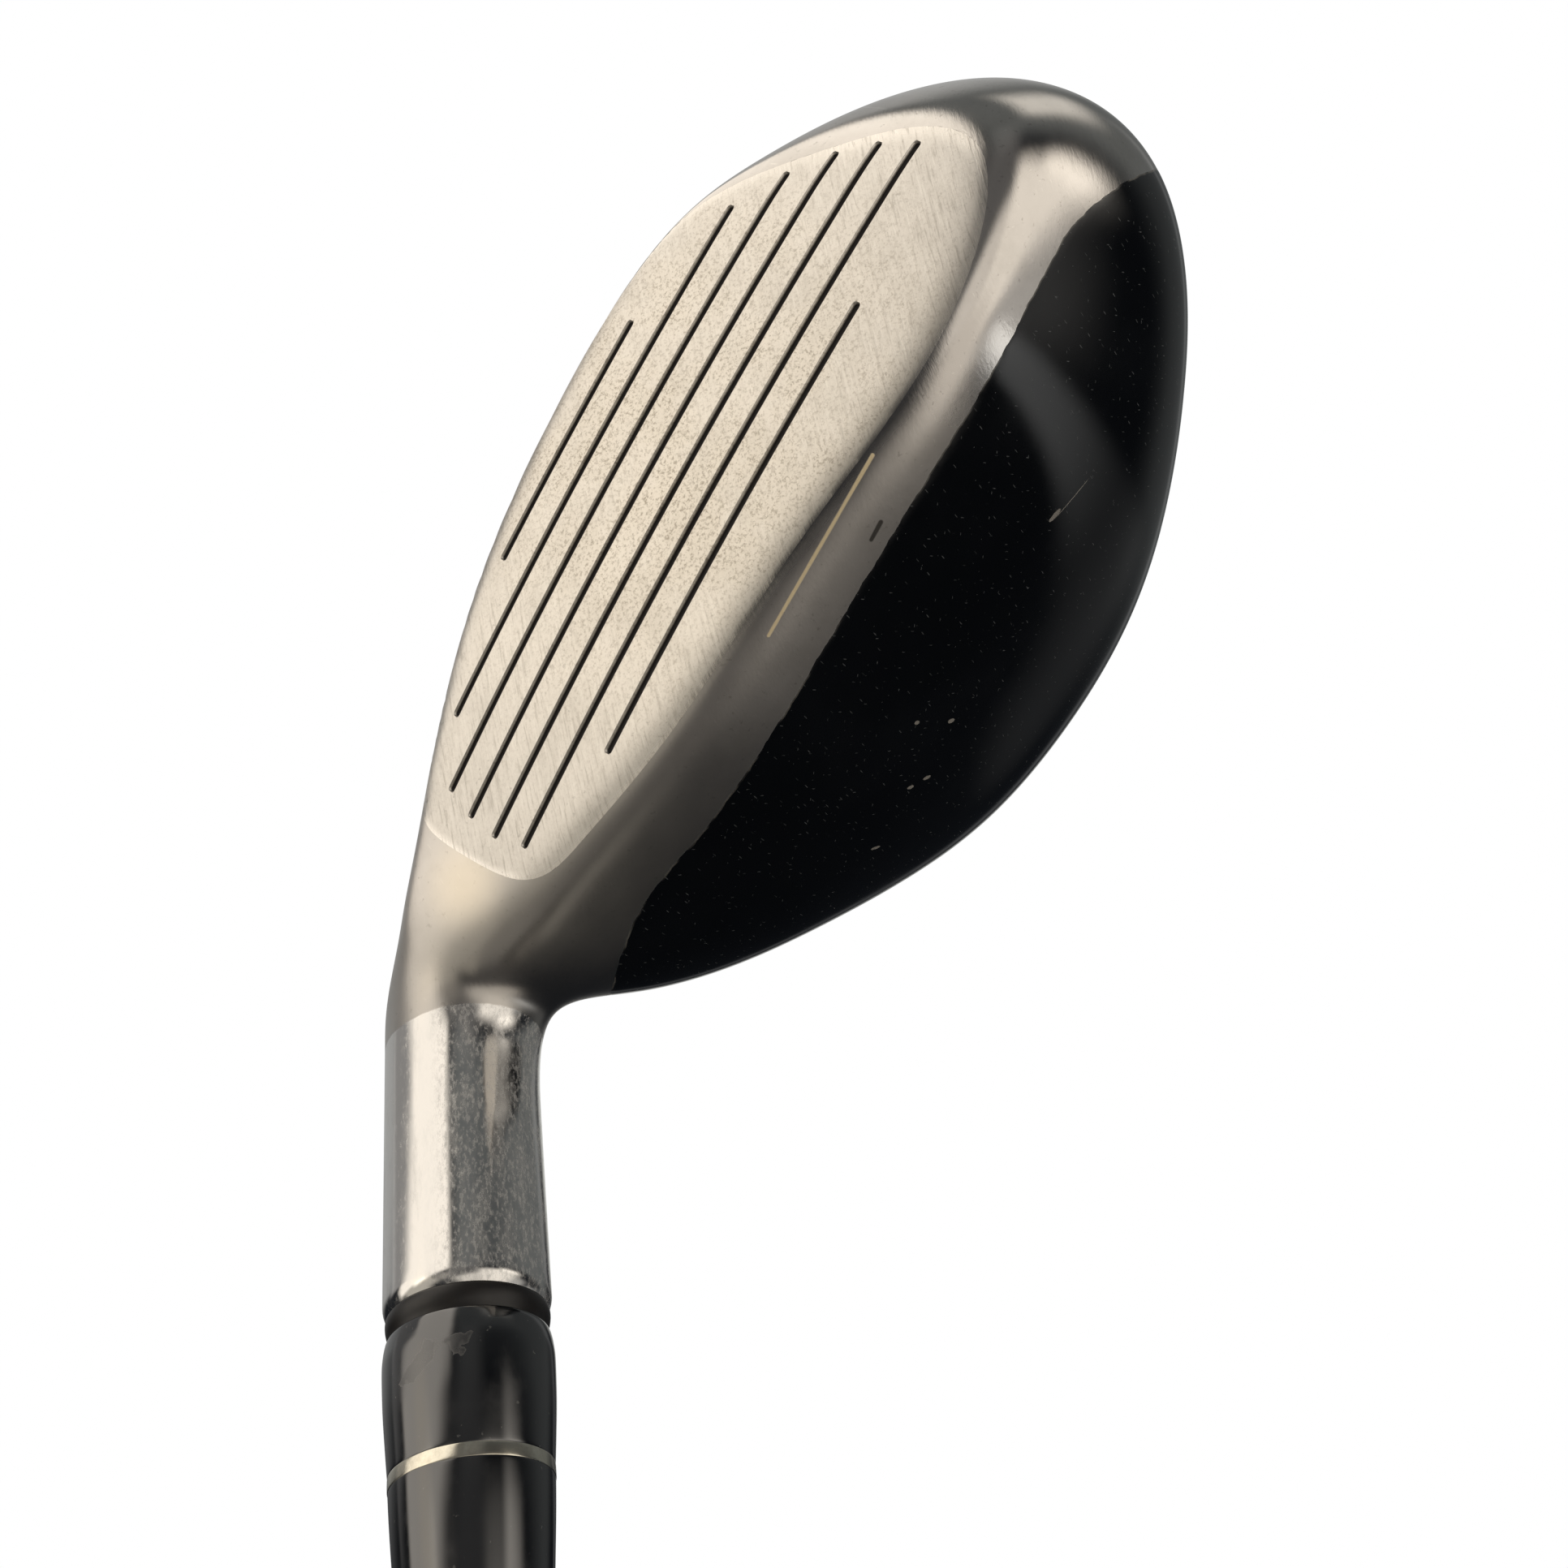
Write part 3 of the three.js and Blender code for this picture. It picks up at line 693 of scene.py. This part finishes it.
def gripSleeve():
    # a closed skin of rings, dented by staggered rows of short slots
    form = gripForm
    length = form["cap"] - form["start"]
    around, steps = 168, 480
    rings = []
    turn = np.arange(around) / around * 2 * np.pi
    for i in range(steps + 1):
        s = form["start"] + 1.5 + (length - 10) * i / steps
        t = (s - form["start"]) / length
        r = form["low"] + (form["high"] - form["low"]) * t**1.25
        row = (s - form["start"] - slotForm["from"]) / slotForm["pitch"]
        dent = np.zeros(around)
        if 0 < row < form["rows"]:
            across = (turn / (2 * np.pi) * form["round"] + 0.5 * (int(row) % 2)) % 1 - 0.5
            along = row % 1 - 0.5
            aside = np.maximum(np.abs(across) * r * 2 * np.pi / form["round"] - slotForm["halfLong"], 0)
            d = np.hypot(aside, along * slotForm["pitch"]) - slotForm["halfWide"]
            dent = np.clip(-d / 0.35, 0, 1)
        for groove in (form["lines"][0], length - form["lines"][1]):
            dent = np.maximum(dent, np.clip(1.2 - abs(s - form["start"] - groove) / 0.8, 0, 1))
        rings.append((r - slotForm["deep"] * dent * dent * (3 - 2 * dent), s))
    cap = [  # radius, and distance below the end
        (13.1, 8.1), (13.2, 7.4), (13.25, 5), (13.15, 3), (12.85, 1.4),
        (12.2, 0.5), (11.3, 0.0), (6, 0), (1.6, 0), (1.6, 10),
    ]
    rings += [(np.full(around, r), form["cap"] - below) for r, below in cap]
    inner = [(shaftRadius(s) + 1, s) for s in (form["cap"] - 10, form["start"])]
    rings += [(np.full(around, r), s) for r, s in inner]
    rings.append((np.full(around, shaftRadius(form["start"]) + 1.2), form["start"]))
    rings.append((np.full(around, form["low"] - 0.3), form["start"] + 0.2))
    side = np.cross([0, 1.0, 0], axisDir)
    points = []
    for r, s in rings:
        ring = axisFoot + axisDir * s + r[:, None] * (
            np.cos(turn)[:, None] * side + np.sin(turn)[:, None] * np.array([0, 1.0, 0])
        )
        points.append(ring)
    points = np.concatenate(points)
    faces = []
    n = len(rings)
    for j in range(n):
        for i in range(around):
            a, b = j * around + i, j * around + (i + 1) % around
            c, d = (j + 1) % n * around + (i + 1) % around, (j + 1) % n * around + i
            faces.append((a, b, c, d))
    piece = meshPiece("gripSleeve", points, faces)
    makeActive(piece)
    bpy.ops.object.mode_set(mode="EDIT")
    bpy.ops.mesh.select_all(action="SELECT")
    bpy.ops.mesh.normals_make_consistent(inside=False)
    bpy.ops.object.mode_set(mode="OBJECT")
    smoothShade(piece, 40)
    return piece


grip = gripSleeve()
print("shaft and grip")

# directions and places that the materials use
brush = np.array([-0.72, -0.303, 0.751])
brushAcross = np.cross(brush, faceOut)
axisSide = np.cross([0, 1.0, 0], axisDir)
hoselRear = np.array([0.53, -0.79, 0.3])
# centre of the painted warm highlight on the neck, in metres
neckGlow = (-0.0406, 0.0075, 0.0177)
hoselEdge = headForm["polishedFrom"] + float(axisFoot @ axisDir) - headForm["ground"] * float(axisDir[2])
ridgeHighlightAndNick = [  # ends and half width, in mm: a painted highlight line along the ridge, and a small dark nick
    {"start": (-7.5, 2.1, 32.1), "stop": (9.5, 3.1, 33.5), "wide": 0.115, "bright": True},
    {"start": (3.7, -0.9, 33.75), "stop": (5.3, -0.7, 33.8), "wide": 0.15, "bright": False},
]


def dashes(look, where, turn, across, length, size, keep):
    # short fine scratches seen from above, all one way
    spots = look.add("ShaderNodeMapping", {}, {"Vector": where, "Rotation": (0, 0, math.radians(turn))})
    spots = look.add("ShaderNodeMapping", {}, {"Vector": spots, "Scale": (1000 / across, 1000 / length, 1)})
    cells = {"voronoi_dimensions": "2D", "feature": "F1"}
    near = look.add("ShaderNodeTexVoronoi", cells, {"Vector": spots, "Scale": 1.0}, out="Distance")
    tint = look.add("ShaderNodeTexVoronoi", cells, {"Vector": spots, "Scale": 1.0}, out="Color")
    chance = look.add("ShaderNodeSeparateColor", {}, {"Color": tint}, out="Red")
    strong = look.add("ShaderNodeSeparateColor", {}, {"Color": tint}, out="Green")
    kept = look.ramp(chance, 1 - keep, 1 - keep + 0.01)
    return (1 - look.ramp(near, size * 0.5, size)) * kept * strong


def steelTone(look, where, light, worn):
    cloud = look.noise(where, 190, 5, 0.65)
    grime = look.noise(where, 1700, 3, 0.6)
    tone = look.blend(look.ramp(cloud, 0.38, 0.72) * 0.55, light, worn)
    return look.blend(look.ramp(grime, 0.62, 0.74) * 0.3, tone, (0.16, 0.14, 0.12, 1))


def satinSteel():
    look = Look("satinSteel")
    where = look.place()
    cloud = look.noise(where, 260, 4, 0.6)
    grain = look.noise(look.lined(where, (brushAcross, 3400), (brush, 500), (faceOut, 2000)), 1.0, 3, 0.6)
    edge = look.noise(where, 500, 2, 0.5) * 0.5 - 0.25
    polished = look.ramp(look.along(where, axisDir) * 1000 + edge, hoselEdge - 0.1, hoselEdge + 0.1)
    tone = steelTone(look, where, (0.62, 0.59, 0.555, 1), (0.5, 0.475, 0.44, 1))
    handling = dashes(look, where, 35, 0.7, 2.4, 0.09, 0.35) + dashes(look, where, -50, 0.8, 2.2, 0.08, 0.3)
    tone = look.blend(handling * 0.3 * (1 - polished), tone, (0.8, 0.78, 0.72, 1))
    smudge = look.noise(look.lined(where, (axisDir, 210), (axisSide, 700), ((0, 1, 0), 700)), 1.0, 6, 0.75)
    fine = look.noise(look.lined(where, (axisDir, 1500), (axisSide, 3400), ((0, 1, 0), 3400)), 1.0, 3, 0.7)
    bright = look.blend(look.ramp(smudge, 0.45, 0.75) * 0.3, (0.69, 0.675, 0.65, 1), (0.5, 0.5, 0.49, 1))
    bright = look.blend(look.ramp(fine, 0.6, 0.72) * 0.25, bright, (0.85, 0.84, 0.8, 1))
    tone = look.blend(polished, tone, bright)
    faceAt = float((np.array(headForm["faceCentre"]) - setDown) @ faceOut)
    back = look.along(where, -faceOut) * 1000 + faceAt
    toe = look.ramp(look.along(where, (1, 0, 0)), 0.008, 0.024)
    heel = look.ramp(look.along(where, (-1, 0, 0)), 0.034, 0.046)
    # painted shade: the neck is darkened towards the polished hosel; a painted warm highlight sits just below
    # the face
    up = look.along(where, axisDir) * 1000
    # painted shade: the neck's colour is darkened over a band below the polished hosel
    paintedNeckShade = look.ramp(up, hoselEdge - 12, hoselEdge - 5) * 0.55 * (1 - polished)
    tone = look.blend(paintedNeckShade, tone, (0.33, 0.315, 0.29, 1))
    # painted highlight: a warm bright patch on the neck just below the face
    paintedNeckHighlight = 1 - look.ramp(look.apart(where, neckGlow), 0.0005, 0.0062)
    tone = look.blend(paintedNeckHighlight * 0.5 * (1 - polished), tone, (0.95, 0.85, 0.68, 1))
    soft = look.ramp(back, 0.5, 2.2) * (1 - toe) * (1 - 0.3 * heel)
    satinRough = 0.1 + 0.08 * cloud + 0.22 * soft
    # handling marks on the rear of the hosel
    rear = look.along(where, hoselRear) * 1000 - float((axisFoot - setDown) @ hoselRear)
    film = look.ramp(smudge, 0.42, 0.66) * 0.6 + look.ramp(fine, 0.46, 0.62) * 0.7
    metal = 1 - 0.42 * film * polished * look.ramp(rear, -2.9, -1.2)
    joint = 1 - look.ramp(look.mark("seam"), 0.1, 0.22)
    tone = look.blend(joint * 0.8, tone, (0.09, 0.08, 0.07, 1))
    polishRough = 0.09 + 0.12 * look.ramp(smudge, 0.4, 0.7) + 0.12 * look.ramp(fine, 0.5, 0.7)
    rough = satinRough * (1 - polished) + polishRough * polished
    for mark in ridgeHighlightAndNick:
        reach = np.array(mark["stop"]) - mark["start"]
        length = float(np.linalg.norm(reach))
        bar = reach / length
        t = look.along(where, bar) * 1000 - float(bar @ mark["start"])
        t = t.maths("MINIMUM", t.maths("MAXIMUM", t, 0), length)
        foot = look.scaled(tuple(bar), t)
        gap = look.vector("SUBTRACT", look.scaled(where, 1000.0), mark["start"])
        line = 1 - look.ramp(look.apart(gap, foot) + edge * 0.1, mark["wide"], mark["wide"] * 2)
        if mark["bright"]:
            # painted highlight: the ridge line is coloured gold and made less metallic so it shows bright
            tone = look.blend(line * 0.9, tone, (1.0, 0.82, 0.5, 1))
            metal = metal * (1 - 0.9 * line)
        else:
            tone = look.blend(line * 0.8, tone, (0.03, 0.025, 0.02, 1))
    normal = look.bump(grain, 0.1 * (1 - polished) + 0.012, 0.00006)
    return look.finish(Base_Color=tone, Metallic=metal, Roughness=rough, Normal=normal)


struckAt = (0.004, 0.0105, 0.0165)  # the most worn place on the face, in metres


def blastedFace():
    look = Look("blastedFace")
    where = look.place()
    deep = look.mark("groove")
    inner = look.ramp(look.mark("border"), 0.0, 0.7)
    worms = look.noise(where, 3000, 5, 0.8)
    broad = look.noise(where, 150, 3, 0.6)
    pits = look.noise(where, 1100, 5, 0.75)
    lines = look.noise(look.lined(where, (brushAcross, 3600), (brush, 260), (faceOut, 1200)), 1.0, 4, 0.65)
    middle = look.apart(where, struckAt)
    struck = (1 - look.ramp(middle, 0.006, 0.034)) * (0.4 + look.ramp(broad, 0.35, 0.6) * 0.6)
    wear = look.ramp(worms, 0.48, 0.62) * (0.2 + 0.8 * struck) * inner
    tone = steelTone(look, where, (0.76, 0.725, 0.67, 1), (0.62, 0.59, 0.54, 1))
    tone = look.blend(struck * 0.35, tone, (0.66, 0.60, 0.50, 1))
    tone = look.blend(wear * 0.62, tone, (0.17, 0.135, 0.09, 1))
    pitted = look.ramp(pits, 0.58, 0.74) * 0.22 * (0.3 + 0.7 * struck) * inner
    tone = look.blend(pitted, tone, (0.24, 0.2, 0.16, 1))
    tone = look.blend(look.ramp(lines, 0.52, 0.68) * 0.45 * (1 - struck), tone, (0.36, 0.33, 0.29, 1))
    tone = look.blend((1 - look.ramp(lines, 0.34, 0.46)) * 0.4 * (1 - struck), tone, (0.86, 0.83, 0.77, 1))
    dark = look.ramp(deep, 0.3, 0.7)
    tone = look.blend(dark, tone, (0.014, 0.010, 0.009, 1))
    rough = (0.22 + 0.17 * inner) * (1 - dark) + 0.5 * dark
    normal = look.bump(worms, 0.2 * inner, 0.00005, look.bump(lines, 0.22, 0.00006))
    return look.finish(Base_Color=tone, Metallic=1 - dark, Roughness=rough, Normal=normal)


paintChips = [
    # place, direction in plan, half length, half width, in mm
    {"at": (14.3, -16.8), "way": (0.97, -0.23), "long": 0.75, "wide": 0.26},
    {"at": (16.4, -17.6), "way": (0.974, -0.226), "long": 2.3, "wide": 0.05},
    {"at": (-6.0, -21.5), "way": (0.57, -0.82), "long": 0.38, "wide": 0.25},
    {"at": (-7.7, -17.4), "way": (0.4, -0.9), "long": 0.3, "wide": 0.22},
    {"at": (-11.8, -23.5), "way": (0.65, -0.76), "long": 0.5, "wide": 0.2},
    {"at": (-13.3, -22.2), "way": (0.57, -0.82), "long": 0.4, "wide": 0.2},
    {"at": (-20.1, -23.6), "way": (0.57, -0.82), "long": 0.55, "wide": 0.16},
]


def blackPaint():
    look = Look("blackPaint")
    where = look.place()
    edge = look.mark("paint")
    scratches = 0
    for turn, across, length, size, keep in (
        (12, 0.62, 3.4, 0.085, 0.3),
        (-24, 0.7, 2.6, 0.08, 0.25),
        (55, 0.9, 3.0, 0.06, 0.25),
        (100, 0.6, 0.9, 0.075, 0.15),
    ):
        scratches = dashes(look, where, turn, across, length, size, keep) + scratches
    wobble = look.noise(where, 1500, 3, 0.6) * 1.3 - 0.65
    chipped = 0
    for chip in paintChips:
        way, (x, y) = np.array(chip["way"]) / np.hypot(*chip["way"]), chip["at"]
        far = look.along(where, (way[0], way[1], 0)) * 1000 - float(way @ chip["at"])
        off = look.along(where, (-way[1], way[0], 0)) * 1000 - float(-way[1] * x + way[0] * y)
        d = (far / chip["long"]) ** 2 + (off / chip["wide"]) ** 2 + wobble
        chipped = (1 - look.ramp(d, 0.8, 1.1)) + chipped
    haze = look.noise(where, 60, 4, 0.6)
    tone = look.blend(look.ramp(haze, 0.4, 0.8) * 0.5, (0.003, 0.0037, 0.0048, 1), (0.008, 0.009, 0.011, 1))
    tone = look.blend(scratches * 0.4, tone, (0.24, 0.25, 0.26, 1))
    tone = look.blend(chipped, tone, (0.3, 0.28, 0.25, 1))
    lip = 1 - look.ramp(edge, 0.05, 0.2)
    bare = lip * look.ramp(look.noise(where, 260, 2, 0.5), 0.42, 0.6) * 0.8
    tone = look.blend(bare, tone, (0.2, 0.19, 0.17, 1))
    marks = scratches + chipped
    rough = 0.09 + 0.09 * look.ramp(haze, 0.45, 0.8) + 0.3 * marks
    dents = look.bump(marks, -0.4, 0.00004)
    normal = look.bump(look.noise(where, 900, 3, 0.5), 0.05, 0.00003, dents)
    return look.finish(Base_Color=tone, Roughness=rough, Normal=normal)


flakeAt = (-0.0679, 0.0056, 0.0496)  # in metres


def ferruleBlack():
    look = Look("ferruleBlack")
    where = look.place()
    # flakes of clear coat gone: whole cells close to one spot
    bend = look.add("ShaderNodeTexNoise", {}, {"Vector": where, "Scale": 700.0}, out="Color")
    bent = {"Vector": look.vector("ADD", where, look.scaled(bend, 0.0016)), "Scale": 420.0}
    cells = look.add("ShaderNodeTexVoronoi", {"feature": "F1"}, bent, out="Position")
    gone = 1 - look.ramp(look.apart(cells, flakeAt), 0.0021, 0.0022)
    seam = look.add("ShaderNodeTexVoronoi", {"feature": "DISTANCE_TO_EDGE"}, bent, out="Distance")
    rim = gone * (1 - look.ramp(seam, 0.02, 0.07))
    dust = look.ramp(look.noise(where, 1700, 2, 0.5), 0.7, 0.76)
    haze = look.noise(where, 240, 4, 0.6)
    tone = look.blend(look.ramp(haze, 0.4, 0.75) * 0.5, (0.0045, 0.005, 0.006, 1), (0.012, 0.012, 0.013, 1))
    tone = look.blend(gone * 0.4, tone, (0.03, 0.029, 0.028, 1))
    tone = look.blend(rim * 0.45, tone, (0.11, 0.105, 0.1, 1))
    tone = look.blend(dust * 0.5, tone, (0.15, 0.15, 0.14, 1))
    rough = 0.09 + 0.1 * look.ramp(haze, 0.4, 0.75) + 0.16 * gone
    return look.finish(Base_Color=tone, Roughness=rough, IOR=2.1, Normal=look.bump(gone, -0.5, 0.00008))


def plainLook(name, light, dark, rough, metal=0.0, scale=700, grain=0.1):
    look = Look(name)
    where = look.place()
    cloud = look.noise(where, scale, 4, 0.6)
    tone = look.blend(look.ramp(cloud, 0.35, 0.7), (*light, 1), (*dark, 1))
    normal = look.bump(look.noise(where, scale * 3, 2, 0.5), grain, 0.00005)
    return look.finish(Base_Color=tone, Metallic=metal, Roughness=rough + 0.12 * cloud, Normal=normal)


satin = satinSteel()
settle(headShell, satin, "head_body")
settle(solePanel, satin, "sole_plate")
settle(crownPanel, blackPaint(), "crown_shell")
settle(facePiece, blastedFace(), "face_plate")
settle(collar, plainLook("collarBrown", (0.007, 0.005, 0.004), (0.003, 0.002, 0.002), 0.34), "ferrule_collar")
blackGloss = ferruleBlack()
settle(ferruleLow, blackGloss, "ferrule_lower")
settle(ferruleHigh, blackGloss, "ferrule_upper")
ringMetal = plainLook("ringMetal", (0.78, 0.74, 0.62), (0.6, 0.56, 0.46), 0.12, 1.0)
settle(trimRing, ringMetal, "ferrule_trim_ring")
shaftBlack = plainLook("shaftBlack", (0.006, 0.006, 0.008), (0.012, 0.012, 0.014), 0.08, 0.0, 300, 0.02)
settle(shaftTube, shaftBlack, "shaft")
gripRubber = plainLook("gripRubber", (0.024, 0.024, 0.026), (0.014, 0.014, 0.016), 0.6, 0.0, 900, 0.4)
settle(grip, gripRubber, "grip")
hidden = {  # pieces used as they come from the frame
    "grip_tape": plainLook("paperTape", (0.72, 0.64, 0.44), (0.62, 0.54, 0.36), 0.75),
    "hosel_plug": plainLook("plugPlastic", (0.75, 0.70, 0.58), (0.68, 0.62, 0.5), 0.5),
    "tip_weight": plainLook("turnedBrass", (0.72, 0.52, 0.22), (0.6, 0.42, 0.17), 0.25, 1.0),
}
for node, look in hidden.items():
    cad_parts[node].data.materials.clear()
    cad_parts[node].data.materials.append(look)
print("materials")

# the floor is seen by the camera only
bpy.ops.mesh.primitive_plane_add(size=8, location=(0, 0, 0))
floor = bpy.context.object
floor.name = "floor"
floorLook = Look("floorWhite")
floorLook.end(floorLook.add("ShaderNodeEmission", {}, {"Color": (1, 1, 1, 1), "Strength": 1.0}))
floor.data.materials.append(floorLook.material)
floor.visible_glossy = False
floor.visible_diffuse = False
floor.visible_shadow = False

world = bpy.data.worlds.new("studio")
bpy.context.scene.world = world
world.use_nodes = True
sky = Look("studio", world.node_tree)
way = sky.add("ShaderNodeTexCoord", out="Generated")
wayX, wayY, wayZ = (sky.along(way, axis) for axis in ((1, 0, 0), (0, 1, 0), (0, 0, 1)))
heading = wayY.maths("ARCTAN2", wayY, wayX) * (180 / math.pi)
height = wayZ.maths("ARCSINE", wayZ, 0) * (180 / math.pi)
softBoxes = [
    # degrees: heading, its lean with height, height and softness; then the light's colour
    {"from": (55, 111), "lean": 0.55, "up": (-95, -4), "soft": (5, 6), "light": (1.36, 1.26, 1.13)},
    {"from": (-22, 8), "lean": 0, "up": (-36, -12), "soft": (8, 8), "light": (0.7, 0.66, 0.6)},
    {"from": (111, 142), "lean": 0.55, "up": (-40, -11), "soft": (5, 5), "light": (1.36, 1.26, 1.13)},
    {"from": (111, 172), "lean": 0.55, "up": (-95, -40), "soft": (5, 5), "light": (0.3, 0.29, 0.28)},
    {"from": (62, 84), "lean": 0, "up": (4, 24), "soft": (6, 8), "light": (0.22, 0.2, 0.17)},
    {"from": (84, 128), "lean": 0, "up": (-12, 22), "soft": (4, 6), "light": (0.56, 0.52, 0.45)},
    {"from": (106, 128), "lean": 0, "up": (22, 44), "soft": (6, 8), "light": (0.50, 0.46, 0.39)},
    {"from": (128, 176), "lean": 0, "up": (-8, 44), "soft": (6, 8), "light": (0.20, 0.185, 0.16)},
    {"from": (86, 104), "lean": 0, "up": (-26, -2), "soft": (8, 8), "light": (0.2, 0.15, 0.07)},
    {"from": (-38, -10), "lean": 0, "up": (14, 24), "soft": (8, 5), "light": (1.14, 1.06, 0.95)},
    {"from": (-35, 22), "lean": 0, "up": (21, 62), "soft": (9, 8), "light": (1.14, 1.06, 0.95)},
    {"from": (22, 68), "lean": 0, "up": (34, 62), "soft": (9, 8), "light": (0.86, 0.80, 0.72)},
    {"from": (20, 82), "lean": 0, "up": (0, 34), "soft": (10, 10), "light": (0.11, 0.105, 0.10)},
    {"from": (-58, -35), "lean": 0, "up": (30, 62), "soft": (9, 10), "light": (0.50, 0.48, 0.45)},
    {"from": (-112, 64), "lean": 0, "up": (62, 110), "soft": (20, 8), "light": (0.78, 0.72, 0.64)},
    {"from": (138, 380), "lean": 0, "up": (-90, -50), "soft": (10, 9), "light": (0.42, 0.42, 0.41)},
    {"from": (-128, -88), "lean": 0, "up": (-62, -38), "soft": (6, 5), "light": (0.6, 0.6, 0.57)},
    {"from": (-84, 44), "lean": 0, "up": (-52, 4), "soft": (10, 10), "light": (0.13, 0.135, 0.13)},
    {"from": (-150, -35), "lean": 0, "up": (-31, -26), "soft": (14, 3), "light": (0.14, 0.14, 0.14)},
    {"from": (130, 190), "lean": 0, "up": (8, 52), "soft": (20, 14), "light": (0.08, 0.075, 0.07)},
    {"from": (-173, -159), "lean": 0, "up": (27, 42), "soft": (5, 5), "light": (1.5, 1.4, 1.2)},
    {"from": (95, 215), "lean": 0, "up": (46, 100), "soft": (16, 10), "light": (0.055, 0.05, 0.045)},
]


def between(value, low, high, soft):
    return sky.ramp(value, low - soft, low + soft) * (1 - sky.ramp(value, high - soft, high + soft))


total = sky.add("ShaderNodeCombineXYZ", {}, {0: 0.014, 1: 0.016, 2: 0.02})
for box in softBoxes:
    turnedTo = heading - box["lean"] * height
    shape = between(turnedTo, *box["from"], box["soft"][0])
    if box["from"][1] > 180:
        shape = shape + between(turnedTo + 360, *box["from"], box["soft"][0])
    shape = shape * between(height, *box["up"], box["soft"][1])
    total = sky.vector("ADD", total, sky.scaled(box["light"], shape))
above = height + 10  # a curved strip, low on the left and rising to the right
strip = heading - (0.0082 * above * above - 88)
stripShape = (1 - sky.ramp(strip * strip, 4, 110)) * sky.ramp(height, -16, 0) * (1 - sky.ramp(height, 48, 60))
stripLight = stripShape * (0.09 + 1.0 * sky.ramp(height, 12, 52))
total = sky.vector("ADD", total, sky.scaled((1, 1, 0.98), stripLight))
seen = sky.add("ShaderNodeLightPath", out="Is Camera Ray")
colour = sky.blend(seen, total, (1, 1, 1, 1))
studio = sky.add("ShaderNodeBackground", {}, {"Color": colour, "Strength": 1.0})
sky.end(studio, "ShaderNodeOutputWorld")
bpy.context.scene.view_settings.view_transform = "Standard"
